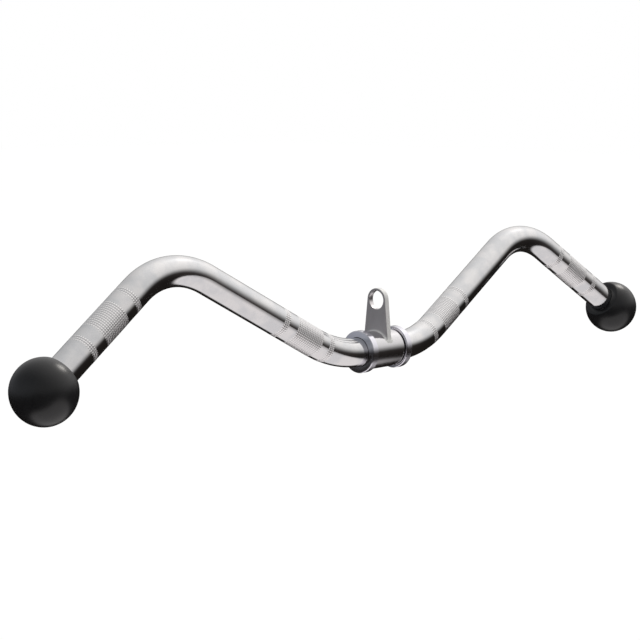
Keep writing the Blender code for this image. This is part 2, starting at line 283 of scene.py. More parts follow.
def speckled(name, dark, light, grain, metallic, roughLow, roughHigh, depth):
    # A dull surface of fine grains: sintered bronze, nylon or black oxide
    made, tree, shader = newMaterial(name)
    grains = addNode(tree, "TexNoise", {"Vector": place3d(tree), "Scale": 1 / grain, "Detail": 4.0})
    spread = addNode(tree, "MapRange", {"Value": grains, "From Min": 0.35, "From Max": 0.65})
    tint = addNode(
        tree, "Mix", {"Factor": spread, 6: hexColour(dark), 7: hexColour(light)}, data_type="RGBA")
    rough = addNode(tree, "MapRange", {
        "Value": grains, "From Min": 0.35, "From Max": 0.65, "To Min": roughLow, "To Max": roughHigh})
    bump = addNode(tree, "Bump", {"Height": grains, "Distance": depth})
    setInputs(tree, shader, {
        "Base Color": tint.outputs[2], "Metallic": metallic, "Roughness": rough, "Normal": bump})
    return made


chrome = chromedBar()
barrelPlate = turnedPlate("turnedBarrelPlate", "#E1E0E2", 0.13, 0.3, 0.002 * mm)
collarPlate = turnedPlate("facedCollarPlate", "#EFEEF6", 0.19, 0.2, 0.003 * mm)
eyePlate = groundPlate()
rubber = mouldedRubber()
bronze = speckled("sinteredBronze", "#8A6236", "#B98F55", 0.35 * mm, 1.0, 0.4, 0.55, 0.01 * mm)
nylon = speckled("blackNylon", "#131313", "#1D1D1E", 0.6 * mm, 0.0, 0.45, 0.6, 0.005 * mm)
oxide = speckled("blackOxideSteel", "#2A2A2C", "#3C3B3D", 0.8 * mm, 1.0, 0.32, 0.46, 0.004 * mm)
print("materials made")


# Grip bar, one bent round bar with rolled knurl
bar = {
    "radius": 14 * mm, "straightHalf": 29.3 * mm,
    "innerBend": 120.4 * mm, "innerRise": radians(29.2), "innerArm": 141.3 * mm,
    "outerBend": 79 * mm, "outerTurn": radians(62.8), "outerArm": 130 * mm,
    "sides": 160, "bendStep": radians(1.5),
    "lead": 2 * mm,  # plain stations stand this far inside the outer bend and short of the bar's end
    "endChamfer": 0.8 * mm, "studHole": 6.3 * mm, "studHoleDepth": 18.3 * mm,
    # Knurl stretches in millimetres along the bar from its middle: start, end
    "knurlLeft": ((75.3, 81.9), (90.8, 125.0), (136.0, 142.5), (331.7, 338.3), (351.2, 383.0),
                  (396.2, 402.8)),
    "knurlRight": ((71.5, 78.0), (91.5, 122.3), (134.3, 140.8), (331.2, 337.8), (350.5, 381.8),
                   (394.7, 401.3)),
    "knurlPitch": 2.25,  # in millimetres, a little coarse so that it shows
    "knurlClear": 0.7,  # no plain station nearer than this to a knurl
    "knurlDepth": 0.26 * mm, "knurlRise": 0.11 * mm,
    "shoulder": 0.18,  # how far into a cushion its shoulder stands, as a share of the pitch
    "crestPower": 4.0,  # higher for a flatter top
    "hardGroove": 0.9,  # edges deeper in a groove than this share of its depth are hard
    "ringEdge": 1 * mm,  # longer than any edge round the bar
}

# Distances along the bar from its middle: where its bends end and start, and its own end
innerEnd = bar["straightHalf"] + bar["innerBend"] * bar["innerRise"]
outerStart = innerEnd + bar["innerArm"]
outerEnd = outerStart + bar["outerBend"] * bar["outerTurn"]
barLength = outerEnd + bar["outerArm"]


# Geometry Nodes: a skin of rings through stations, with rolled square knurl where a station asks for it
def makeRingSweep():
    tree, given, ids = newGeometryTree(
        "ringSweep", ("Stations", "Geometry"), ("Sides", "Int"), ("Knurl Depth", "Float"),
        ("Knurl Rise", "Float"), ("Material", "Material"))
    stations = given["Stations"]
    count = addNode(tree, "GeometryNodeAttributeDomainSize", {0: stations})
    around = addNode(tree, "Math", {0: given["Sides"], 1: 1.0})
    grid = addNode(
        tree, "GeometryNodeMeshGrid", {"Vertices X": count.outputs["Point Count"], "Vertices Y": around})
    # Ring and side of each grid point; the added quarter keeps a whole number from rounding down
    index = addNode(tree, "GeometryNodeInputIndex")
    share = addNode(tree, "Math", {0: index, 1: 0.25})
    share = addNode(tree, "Math", {0: share, 1: around}, operation="DIVIDE")
    ring = addNode(tree, "Math", {0: share}, operation="FLOOR")
    before = addNode(tree, "Math", {0: ring, 1: around}, operation="MULTIPLY")
    side = addNode(tree, "Math", {0: index, 1: before}, operation="SUBTRACT")
    read = {}
    for label in ("turn", "radius", "knurl", "row"):
        named = addNode(tree, "GeometryNodeInputNamedAttribute", {"Name": label}, data_type="FLOAT")
        read[label] = addNode(
            tree, "GeometryNodeSampleIndex", {"Geometry": stations, "Value": named, "Index": ring},
            data_type="FLOAT")
    centre = addNode(
        tree, "GeometryNodeSampleIndex",
        {"Geometry": stations, "Value": addNode(tree, "GeometryNodeInputPosition"), "Index": ring},
        data_type="FLOAT_VECTOR")
    # Small cushions, four sides and four rings to each: one in the groove, two shoulders and a top
    phase = addNode(tree, "Math", {0: side, 1: pi / 2}, operation="MULTIPLY")
    phase = addNode(tree, "Math", {0: phase}, operation="SINE")
    phase = addNode(tree, "Math", {0: phase, 1: read["knurl"]}, operation="MULTIPLY")
    side = addNode(tree, "Math", {0: phase, 1: 4 * bar["shoulder"] - 1, 2: side}, operation="MULTIPLY_ADD")
    cell = addNode(tree, "Math", {0: side, 1: 0.25}, operation="MULTIPLY")
    heights = []
    for place in (cell, read["row"]):
        height = addNode(tree, "Math", {0: place, 1: 0.5}, operation="PINGPONG")
        height = addNode(tree, "Math", {0: height, 1: -2.0, 2: 1.0}, operation="MULTIPLY_ADD")
        height = addNode(tree, "Math", {0: height, 1: bar["crestPower"]}, operation="POWER")
        heights.append(addNode(tree, "Math", {0: 1.0, 1: height}, operation="SUBTRACT"))
    crest = addNode(tree, "Math", {0: heights[0], 1: heights[1]}, operation="MULTIPLY")
    groove = addNode(tree, "Math", {0: 1.0, 1: crest}, operation="SUBTRACT")
    groove = addNode(tree, "Math", {0: groove, 1: read["knurl"]}, operation="MULTIPLY")
    cutIn = addNode(tree, "Math", {0: groove, 1: given["Knurl Depth"]}, operation="MULTIPLY")
    raised = addNode(
        tree, "Math", {0: read["knurl"], 1: given["Knurl Rise"], 2: read["radius"]}, operation="MULTIPLY_ADD")
    reach = addNode(tree, "Math", {0: raised, 1: cutIn}, operation="SUBTRACT")
    # Ring point: reach along (-sin turn cos a, sin a, cos turn cos a)
    turn = addNode(tree, "Math", {0: 2 * pi, 1: given["Sides"]}, operation="DIVIDE")
    angle = addNode(tree, "Math", {0: side, 1: turn}, operation="MULTIPLY")
    cosAngle = addNode(tree, "Math", {0: angle}, operation="COSINE")
    sinAngle = addNode(tree, "Math", {0: angle}, operation="SINE")
    cosTurn = addNode(tree, "Math", {0: read["turn"]}, operation="COSINE")
    sinTurn = addNode(tree, "Math", {0: read["turn"]}, operation="SINE")
    across = addNode(tree, "Math", {0: sinTurn, 1: cosAngle}, operation="MULTIPLY")
    across = addNode(tree, "Math", {0: across, 1: -1.0}, operation="MULTIPLY")
    upright = addNode(tree, "Math", {0: cosTurn, 1: cosAngle}, operation="MULTIPLY")
    out = addNode(tree, "CombineXYZ", {0: across, 1: sinAngle, 2: upright})
    out = addNode(tree, "VectorMath", {0: out, "Scale": reach}, operation="SCALE")
    spot = addNode(tree, "VectorMath", {0: centre, 1: out}, operation="ADD")
    kept = grid
    for label, value in (("groove", groove), ("knurled", read["knurl"])):
        kept = addNode(
            tree, "GeometryNodeStoreNamedAttribute", {"Geometry": kept, "Name": label, "Value": value},
            data_type="FLOAT", domain="POINT")
    moved = addNode(tree, "GeometryNodeSetPosition", {"Geometry": kept, "Position": spot})
    merged = addNode(tree, "GeometryNodeMergeByDistance", {"Geometry": moved, "Distance": mergeDistance})
    # Faces that touch a knurled point become triangles
    knurled = addNode(tree, "GeometryNodeInputNamedAttribute", {"Name": "knurled"}, data_type="FLOAT")
    cells = addNode(
        tree, "FunctionNodeCompare", {0: knurled, 1: 0.1}, data_type="FLOAT", operation="GREATER_THAN")
    split = addNode(
        tree, "GeometryNodeTriangulate", {"Mesh": merged, "Selection": cells}, quad_method="LONGEST_DIAGONAL")
    smooth = addNode(tree, "GeometryNodeSetShadeSmooth", {"Geometry": split, "Shade Smooth": True})
    endTree(tree, smooth, given["Material"])
    return tree, ids


ringSweep, sweepIds = makeRingSweep()


def sweep(name, stations, sides, material, place, knurlDepth=0.0, knurlRise=0.0, sharpAngle=30):
    # A station is (x, z, turn, radius, knurl, row) in the plane of the bar
    mesh = bpy.data.meshes.new(name + "Stations")
    mesh.from_pydata([(s[0], 0, s[1]) for s in stations], [], [])
    for column, label in enumerate(("turn", "radius", "knurl", "row"), 2):
        values = mesh.attributes.new(label, "FLOAT", "POINT")
        values.data.foreach_set("value", [s[column] for s in stations])
    piece = addObject(name, mesh)
    runTree(piece, ringSweep, sweepIds, {
        "Sides": sides, "Knurl Depth": knurlDepth, "Knurl Rise": knurlRise, "Material": material})
    mesh = tidyMesh(piece, place, sharpAngle).data
    if knurlDepth:
        # A cushion is rounded over its top and breaks hard at its foot and at the border of its band
        groove = [g.value for g in mesh.attributes["groove"].data]
        knurled = [k.value > 0.5 for k in mesh.attributes["knurled"].data]
        border = set()
        for edge in mesh.edges:
            a, b = edge.vertices
            if knurled[a] and knurled[b]:
                edge.use_edge_sharp = min(groove[a], groove[b]) > bar["hardGroove"]
            elif knurled[a] or knurled[b]:
                border.add(b if knurled[a] else a)
        for edge in mesh.edges:
            a, b = edge.vertices
            stride = (mesh.vertices[a].co - mesh.vertices[b].co).length
            if a in border and b in border and stride < bar["ringEdge"]:
                edge.use_edge_sharp = True
    return piece


def turnedAboutX(name, profile, sides, material, place, sharpAngle=30):
    # profile is (along, radius) pairs in order
    return sweep(
        name, [(x, 0, 0, r, 0, 0) for x, r in profile], sides, material, place, sharpAngle=sharpAngle)


def finishPiece(piece, body, slot, *nodes):
    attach(piece, body)
    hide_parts(*nodes)
    return piece


def barPoint(s):
    # (x, z, turn) at distance s from the middle, negative to the left
    side, s = (-1 if s < 0 else 1), abs(s)
    if s <= bar["straightHalf"]:
        return side * s, 0.0, 0.0
    rise = bar["innerRise"]
    turn = min((s - bar["straightHalf"]) / bar["innerBend"], rise)
    x = bar["straightHalf"] + bar["innerBend"] * sin(turn)
    z = bar["innerBend"] * (1 - cos(turn))
    if s > innerEnd:
        onArm = min(s - innerEnd, bar["innerArm"])
        x, z = x + onArm * cos(rise), z + onArm * sin(rise)
    if s > outerStart:
        turn = rise - min((s - outerStart) / bar["outerBend"], bar["outerTurn"])
        x += bar["outerBend"] * (sin(rise) - sin(turn))
        z += bar["outerBend"] * (cos(turn) - cos(rise))
    if s > outerEnd:
        x, z = x + (s - outerEnd) * cos(turn), z + (s - outerEnd) * sin(turn)
    return side * x, z, side * turn


def halfStations(side, stretches):
    # Stations from the middle outwards on one side, each marked with (knurl, row)
    plain, shoulder, clear = (0, 0), bar["shoulder"], bar["knurlClear"]
    marks = dict.fromkeys((
        0.0, bar["straightHalf"], innerEnd, outerStart, outerEnd, outerEnd - bar["lead"],
        outerStart + bar["lead"]), plain)
    for start, end, radius in (
            (bar["straightHalf"], innerEnd, bar["innerBend"]), (outerStart, outerEnd, bar["outerBend"])):
        steps = ceil((end - start) / radius / bar["bendStep"])
        for i in range(1, steps):
            marks[start + (end - start) * i / steps] = plain
    for low, high in stretches:
        rows = max(1, round((high - low) / bar["knurlPitch"]))
        for s in [s for s in marks if (low - clear) * mm < s < (high + clear) * mm]:
            del marks[s]
        marks[low * mm] = marks[high * mm] = plain
        for row in [r + part for r in range(rows) for part in (shoulder, 0.5, 1 - shoulder, 1)][:-1]:
            marks[(low + (high - low) * row / rows) * mm] = (1.0, row)
    found = [(*barPoint(side * s), bar["radius"], *marks[s]) for s in sorted(marks)
             if s < barLength - bar["lead"]]
    for back, radius in (
            (bar["endChamfer"], bar["radius"]), (0, bar["radius"] - bar["endChamfer"]),
            (0, bar["studHole"]), (bar["studHoleDepth"], bar["studHole"]), (bar["studHoleDepth"], 0)):
        found.append((*barPoint(side * (barLength - back)), radius, 0.0, 0.0))
    return found


leftHalf = halfStations(-1, bar["knurlLeft"])
rightHalf = halfStations(1, bar["knurlRight"])
gripBar = sweep(
    "gripBar", leftHalf[:0:-1] + rightHalf, bar["sides"], chrome, barPlace, bar["knurlDepth"],
    bar["knurlRise"])
finishPiece(gripBar, "bar", "plated_bar", "curl_bar")
print("grip bar", len(gripBar.data.polygons), "faces")


# Revolving barrel
barrel = {"halfLength": 19.4 * mm, "radius": 18.265 * mm, "bore": 16.365 * mm, "edge": 0.4 * mm, "sides": 128}


def ringProfile(low, high, inner, outer, lowEdge, highEdge, lowMouth, highMouth, crown=0.0):
    # Closed section of a turned ring, each corner a small chamfer; crown sets the high face's rim back
    found = []
    for x, r, edge, dx, dr in ((high, outer, highEdge, -1, -1), (high, inner, highMouth, -1, 1),
                               (low, inner, lowMouth, 1, 1), (low, outer, lowEdge, 1, -1)):
        a, b = (x + dx * edge, r), (x, r + dr * edge)
        found += [a, b] if (r == outer) == (x == high) else [b, a]
    if crown:
        found[:2] = [(high - crown - highEdge, outer), (high - crown, outer - highEdge)]
        found[2:2] = [(high - back * crown, outer - inwards * (outer - inner))
                      for back, inwards in collar["crownShape"]]
    return found + found[:1]


hangerBarrel = turnedAboutX("hangerBarrel", ringProfile(
    -barrel["halfLength"], barrel["halfLength"], barrel["bore"], barrel["radius"],
    *[barrel["edge"]] * 4), barrel["sides"], barrelPlate, hangerPlace)
finishPiece(hangerBarrel, "hanger", "plated_steel", "hanger_barrel")


# Stop collars, each with two tapped holes at the back
collar = {
    "start": 20.8 * mm, "width": 8.5 * mm, "bore": 14.33 * mm, "radius": 20.58 * mm, "edge": 0.7 * mm,
    "mouth": 0.3 * mm, "boreEdge": 0.2 * mm, "sides": 128,
    # How far the rim is set back, and (share of that, share of the way in) for the points between
    "crown": 0.65 * mm, "crownShape": ((0.62, 0.35), (0.25, 0.65)),
    "screwAngles": (45, -45), "screwHole": 2.8 * mm, "holeRim": 3.3 * mm, "rimDepth": 0.5 * mm,
    "holeInside": 2 * mm, "holeBeyond": 1 * mm, "holeSides": 48,
}


def backwards(side, angle):
    # From a set screw's own frame, with local Z out of the bar, to the bar's frame
    middle = collar["start"] + collar["width"] / 2
    return (Matrix.Translation((side * middle, 0, 0)) @ Matrix.Rotation(radians(angle), 4, "X")
            @ Matrix.Rotation(-pi / 2, 4, "X"))


def circle(radius, height, count, flats=0.0):
    # flats above 0 gives a hexagon of that width across its flats, with the same number of points
    points = []
    for i in range(count):
        a = 2 * pi * i / count
        r = radius
        if flats:
            r = flats / 2 / cos((a + pi / 6) % (pi / 3) - pi / 6)
        points.append((r * cos(a), r * sin(a), height))
    return points


profile = ringProfile(
    collar["start"], collar["start"] + collar["width"], collar["bore"], collar["radius"],
    collar["edge"], collar["edge"], collar["boreEdge"], collar["mouth"], collar["crown"])
hole, rim, deep = collar["screwHole"], collar["holeRim"], collar["bore"] - collar["holeInside"]
top, beyond = collar["radius"], collar["radius"] + collar["holeBeyond"]
holeRings = [circle(r, height, collar["holeSides"]) for r, height in (
    (0, deep), (hole, deep), (hole, top - collar["rimDepth"]), (rim, top), (rim, beyond), (0, beyond))]
for side, label in ends:
    piece = turnedAboutX(
        "stopCollar" + label.title(), [(side * x, r) for x, r in profile], collar["sides"], collarPlate,
        Matrix.Identity(4))
    cutters = []
    for angle in collar["screwAngles"]:
        cutter = loft("holeCutter", holeRings, collarPlate, False, backwards(side, angle))
        cutters.append(cutter)
        hollow = piece.modifiers.new("hole", "BOOLEAN")
        hollow.operation, hollow.solver, hollow.object = "DIFFERENCE", "EXACT", cutter
    bakeModifiers(piece)
    for cutter in cutters:
        bpy.data.objects.remove(cutter)
    tidyMesh(piece, barPlace)
    finishPiece(piece, "bar", "plated_steel", "stop_collar_" + label)
print("barrel and collars made")


# Set screws: one drawn, four set in place by Geometry Nodes
setScrew = {
    "radius": 2.5 * mm, "foot": 14.3 * mm, "recess": 1.3 * mm, "point": 0.6 * mm, "lip": 0.4 * mm,
    "dish": 0.3 * mm, "lead": 0.4 * mm, "across": 2.5 * mm, "mouth": 0.15 * mm,
    "socketDepth": 2.2 * mm, "socketCone": 0.5 * mm, "sides": 48,
}


def screwProfile():
    # (radius, height, width across flats) from the dished point up, over the top and down the socket
    r, foot, top = setScrew["radius"], setScrew["foot"], collar["radius"] - setScrew["recess"]
    point, lead, across = setScrew["point"], setScrew["lead"], setScrew["across"]
    bottom = top - setScrew["socketDepth"]
    return [(0, foot + setScrew["dish"], 0), (r - point - setScrew["lip"], foot, 0), (r - point, foot, 0),
            (r, foot + point, 0), (r, top - lead, 0), (r - lead, top, 0),
            (0, top, across + 2 * setScrew["mouth"]), (0, top - setScrew["mouth"], across),
            (0, bottom, across), (0, bottom - setScrew["socketCone"], 0)]


def makeScrewSetter():
    tree, given, ids = newGeometryTree(
        "screwSetter", ("Places", "Geometry"), ("Screw", "Object"), ("Material", "Material"))
    drawn = addNode(tree, "GeometryNodeObjectInfo", {"Object": given["Screw"]})
    lean = addNode(tree, "GeometryNodeInputNamedAttribute", {"Name": "lean"}, data_type="FLOAT_VECTOR")
    turn = addNode(tree, "FunctionNodeEulerToRotation", {0: lean})
    placed = addNode(tree, "GeometryNodeInstanceOnPoints", {
        "Points": given["Places"], "Instance": drawn.outputs["Geometry"], "Rotation": turn})
    endTree(tree, placed, given["Material"])
    return tree, ids


screwRings = [circle(r, height, setScrew["sides"], flats) for r, height, flats in screwProfile()]
drawnScrew = loft("drawnScrew", screwRings, oxide, False)
screwSetter, setterIds = makeScrewSetter()
places = [backwards(side, angle) for side, label in ends for angle in collar["screwAngles"]]
mesh = bpy.data.meshes.new("collarScrewPlaces")
mesh.from_pydata([p.translation for p in places], [], [])
leans = mesh.attributes.new("lean", "FLOAT_VECTOR", "POINT")
leans.data.foreach_set("vector", [c for p in places for c in p.to_euler()])
collarScrews = addObject("collarScrews", mesh)
runTree(collarScrews, screwSetter, setterIds, {"Screw": drawnScrew, "Material": oxide})
tidyMesh(collarScrews, barPlace)
bpy.data.objects.remove(drawnScrew)
finishPiece(collarScrews, "bar", "black_oxide_steel", "collar_screw_left_1", "collar_screw_left_2",
            "collar_screw_right_1", "collar_screw_right_2")
print("set screws made")


# End balls, solid rubber with a flat where the bar goes in
ball = {
    "radius": 28.6 * mm, "beyondBar": 4 * mm, "flatRadius": 20.53 * mm, "flatRound": 0.5 * mm,
    "rimCut": 0.12 * mm, "rimIn": 0.6 * mm, "bore": 14.1 * mm, "mouth": 0.45 * mm, "mouthCut": 0.18 * mm,
    "seat": 0.3 * mm, "pocket": 9.9 * mm, "pocketDepth": 18.9 * mm, "sides": 144, "steps": 64,
}


def ballProfile():
    # (distance out from the bar's end, radius), from the pole round to the pocket's floor
    centre, radius = ball["beyondBar"], ball["radius"]
    drop = sqrt(radius ** 2 - ball["flatRadius"] ** 2)
    start, end = pi / 2, -asin(drop / radius) + ball["flatRound"] / radius
    found = [(centre + radius * sin(start + (end - start) * i / ball["steps"]),
              radius * cos(start + (end - start) * i / ball["steps"])) for i in range(ball["steps"] + 1)]
    flat, rim, bore, mouth = centre - drop, ball["flatRadius"], ball["bore"], ball["mouth"]
    return found + [
        (flat + ball["rimCut"], rim - ball["rimCut"]), (flat, rim - ball["rimIn"]), (flat, bore + mouth),
        (flat + ball["mouthCut"], bore + ball["mouthCut"]), (flat + mouth, bore), (ball["seat"], bore),
        (ball["seat"], ball["pocket"]), (ball["pocketDepth"], ball["pocket"]), (ball["pocketDepth"], 0)]


for side, label in ends:
    x, z, turn = barPoint(side * barLength)
    direction = side * Vector((cos(turn), sin(turn)))
    stations = [(x + out * direction.x, z + out * direction.y, turn, r, 0, 0) for out, r in ballProfile()]
    piece = sweep("endBall" + label.title(), stations, ball["sides"], rubber, barPlace, sharpAngle=40)
    finishPiece(piece, "bar", "black_rubber", "ball_" + label)
print("end balls made")


# Eye plate, tapered flat bar with a round top and one hole
eye = {
    "halfThickness": 3 * mm, "topRadius": 11.4 * mm, "holeRadius": 9 * mm, "footHalfWidth": 15.465 * mm,
    "edgeRound": 0.7 * mm, "holeRound": 0.6 * mm, "roundSteps": 5, "sink": 0.8 * mm,
    "roundGrowth": 0.8,  # how fast the edge's rounding grows with the distance from the foot
    "topPoints": 96, "sidePoints": 26, "footPoints": 40,
}


def eyeLean():
    half = eye["footHalfWidth"]
    rise = layout["eyeHeight"] - sqrt(barrel["radius"] ** 2 - half ** 2)
    return atan2(half, rise) - asin(eye["topRadius"] / sqrt(half ** 2 + rise ** 2))


def eyeOutline():
    # Round top, leaning side, foot sunk a little into the barrel's wall, other side
    lean, radius, height = eyeLean(), eye["topRadius"], layout["eyeHeight"]
    footRadius = barrel["radius"] - eye["sink"]
    start, run = Vector((radius * cos(lean), radius * sin(lean))), Vector((sin(lean), -cos(lean)))
    toAxis = start - Vector((0, -height))
    half = toAxis.dot(run)
    length = -half - sqrt(max(half ** 2 - toAxis.length_squared + footRadius ** 2, 0.0))
    foot = start + length * run
    spread = atan2(foot.x, foot.y + height)
    tops, sides, feet = eye["topPoints"], eye["sidePoints"], eye["footPoints"]
    loop = [Vector((radius * cos(a), radius * sin(a)))
            for a in (lean + (pi - 2 * lean) * i / tops for i in range(tops + 1))]
    loop += [Vector((-foot.x + (foot.x - start.x) * i / sides, foot.y + (start.y - foot.y) * i / sides))
             for i in range(sides - 1, -1, -1)]
    loop += [Vector((footRadius * sin(a), footRadius * cos(a) - height))
             for a in (-spread + 2 * spread * i / feet for i in range(1, feet + 1))]
    loop += [foot + (start - foot) * i / sides for i in range(1, sides)]
    return loop


def inset(loop, distance):
    # Moves each point of a closed loop inwards, square to its neighbours, but less near the foot,
    # whose corners are too sharp for it
    moved = []
    axis, footRadius = Vector((0, -layout["eyeHeight"])), barrel["radius"] - eye["sink"]
    for i, p in enumerate(loop):
        before = (p - loop[i - 1]).normalized()
        after = (loop[(i + 1) % len(loop)] - p).normalized()
        run = (before + after).normalized()
        square = Vector((-run.y, run.x))
        room = eye["roundGrowth"] * ((p - axis).length - footRadius)
        moved.append(p + square * min(distance, max(room, 0.0)))
    return moved


outline = eyeOutline()
turns = [atan2(p.y, p.x) for p in outline]
rings = []
quarter = [pi / 2 * i / eye["roundSteps"] for i in range(eye["roundSteps"] + 1)]
# Over the left edge to the left face, through the hole to the right face, and back over the right edge
for side, atEdge, order in ((-1, True, quarter), (-1, False, quarter[::-1]), (1, False, quarter),
                            (1, True, quarter[::-1])):
    for a in order:
        size = eye["edgeRound"] if atEdge else eye["holeRound"]
        x = side * (eye["halfThickness"] - size * (1 - sin(a)))
        if atEdge:
            rings.append([(x, p.x, p.y) for p in inset(outline, size * (1 - cos(a)))])
        else:
            r = eye["holeRadius"] + size * (1 - cos(a))
            rings.append([(x, r * cos(t), r * sin(t)) for t in turns])
eyePiece = loft("eyePlate", rings, eyePlate, True, sharpAngle=50)
finishPiece(eyePiece, "hanger", "plated_steel", "eye_plate")


# Weld, dressed smooth: a hollow fillet all round the plate's foot
weld = {
    "onPlate": 2.6 * mm, "onEdge": 1.4 * mm, "onBarrel": 2.6 * mm, "corner": 1.2 * mm, "sink": 0.5 * mm,
    "inside": 0.05 * mm, "footSink": 0.01 * mm, "toe": 0.15, "ripple": 0.02 * mm, "ripplePitch": 3.1 * mm,
    "steps": 12, "sidePoints": 60, "cornerPoints": 10, "endPoints": 16,
}


def weldRing():
    # Sections from the plate down to the barrel, as (x, angle round the barrel, radius)
    radius, corner, sink = barrel["radius"], weld["corner"], weld["sink"]
    halfWide = eye["halfThickness"] - weld["inside"]
    halfLong = radius * asin(eye["footHalfWidth"] / radius) - weld["inside"]
    loop = []
    for sx, sy, start in ((1, 1, 0), (-1, 1, 90), (-1, -1, 180), (1, -1, 270)):
        for i in range(weld["cornerPoints"] + 1):
            a = radians(start + 90 * i / weld["cornerPoints"])
            loop.append((sx * (halfWide - corner) + corner * cos(a),
                         sy * (halfLong - corner) + corner * sin(a), cos(a), sin(a)))
        nextX, nextY = ((-sx, sy) if start in (0, 180) else (sx, -sy))
        count = weld["endPoints"] if start in (0, 180) else weld["sidePoints"]
        x0, y0 = loop[-1][:2]
        x1 = nextX * (halfWide - corner) + corner * cos(a)
        y1 = nextY * (halfLong - corner) + corner * sin(a)
        loop += [(x0 + (x1 - x0) * i / count, y0 + (y1 - y0) * i / count, cos(a), sin(a))
                 for i in range(1, count)]
    # The plate's edge leans in as it rises, so near the ends the weld stays as low as that edge
    steep = tan(asin(eye["footHalfWidth"] / radius) + eyeLean())
    strides = [sqrt((x - u) ** 2 + (y - v) ** 2)
               for (x, y, _, _), (u, v, _, _) in zip(loop, loop[-1:] + loop[:-1])]
    beads = round(sum(strides) / weld["ripplePitch"])
    sections = []
    walked = 0.0
    for (x, y, dx, dy), stride in zip(loop, strides):
        turn = y / radius
        drawn = (halfLong - abs(y)) * (1 - abs(dy)) + steep * weld["onEdge"] * abs(dy)
        high = min(weld["onPlate"], drawn / steep)
        top = (x, (halfLong - drawn) * (1 if y > 0 else -1) / radius, radius + high)
        foot = (x + dx * weld["onBarrel"], turn + dy * weld["onBarrel"] / radius, radius - weld["footSink"])
        middle = (x, turn, radius + weld["toe"] * high)
        walked += stride / sum(strides)
        swell = weld["ripple"] * sin(2 * pi * beads * walked)
        section = []
        for i in range(weld["steps"] + 1):
            u = i / weld["steps"]
            p = [(1 - u) ** 2 * a + 2 * u * (1 - u) * b + u * u * c for a, b, c in zip(top, middle, foot)]
            p[2] += swell * 4 * u * (1 - u)
            section.append(p)
        section += [(foot[0], foot[1], radius - sink),
                    (x - dx * sink, turn - dy * sink / radius, radius - sink),
                    (x - dx * sink, top[1] - dy * sink / radius, radius + high)]
        sections.append([(px, r * sin(a), r * cos(a)) for px, a, r in section])
    return sections


weldPiece = loft("eyeWeld", weldRing(), eyePlate, True, hangerPlace, sharpAngle=60)
finishPiece(weldPiece, "hanger", "plated_steel", "eye_weld")
print("eye plate and weld made")


# Solids that keep their own shape, in better finishes
for stem, material in (("bush_", bronze), ("thrust_washer_", nylon), ("ball_insert_", oxide),
                       ("ball_stud_", oxide)):
    for side, label in ends:
        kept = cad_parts[stem + label]
        if kept.material_slots:
            for holder in kept.material_slots:
                holder.material = material
        else:
            kept.data.materials.append(material)
print("small solids dressed")


# Studio: white for the camera, soft bright sky, dark horizon and a pale floor pool for the metal
studio = {
    "skyLevel": 0.293, "skySlope": (-0.05, -0.066, -0.155), "skyColour": (0.99, 0.995, 1.0),
    "coolSide": (-40, 25), "coolShare": 1.3, "coolColour": (0.93, 1.005, 1.065),
    "glow": (85.5, 46), "glowGain": 0.91, "glowPower": 1.54, "coreGain": 0.25, "corePower": 60.0,
    "glowColour": (1.012, 0.992, 0.978),
    # The bright wall comes down lower on one side
    "horizonLow": -0.12, "horizonHigh": 0.361, "lowSide": -45, "lowSidePower": 1.5, "lowSideDrop": 0.3,
    # Cool wall low on the left, as the collar's face and the eye plate see it
    "wallSide": -46, "wallPower": 1.5, "wallLow": -0.22, "wallHigh": 0.02, "wallFade": 2.0,
    "wallColour": (0.15, 0.153, 0.172),
    # Dim haze near the ground on the other side, where the bright wall also comes lower
    "hazeSide": 152, "hazePower": 14.0, "hazeColour": (0.035, 0.031, 0.03), "hazeDrop": 0.06,
    "darkColour": (0.0135, 0.0115, 0.0105),
    # Bright patch of floor far below, as the metal sees it
    "sheetCentre": (1.509, -5.136, -2.161), "sheetHalf": (2.03, 6.453), "sheetTurn": radians(15.5),
    "sheetCorner": 1.3, "sheetEdge": 0.26, "sheetFade": 0.574, "sheetColour": (0.79, 0.762, 0.766),
    "lamp": (83, 43.5), "lampDistance": 6.0, "lampSize": 1.8, "lampRadiance": 7.5,
    "lampColour": (1.0, 0.96, 0.9),
    "spared": ("gripBar", "hangerBarrel", "stopCollarLeft", "stopCollarRight"),
    "floorHeight": -0.45, "floorSize": 30.0, "floorGlow": 1.1, "floorGlowShare": 0.85,
}


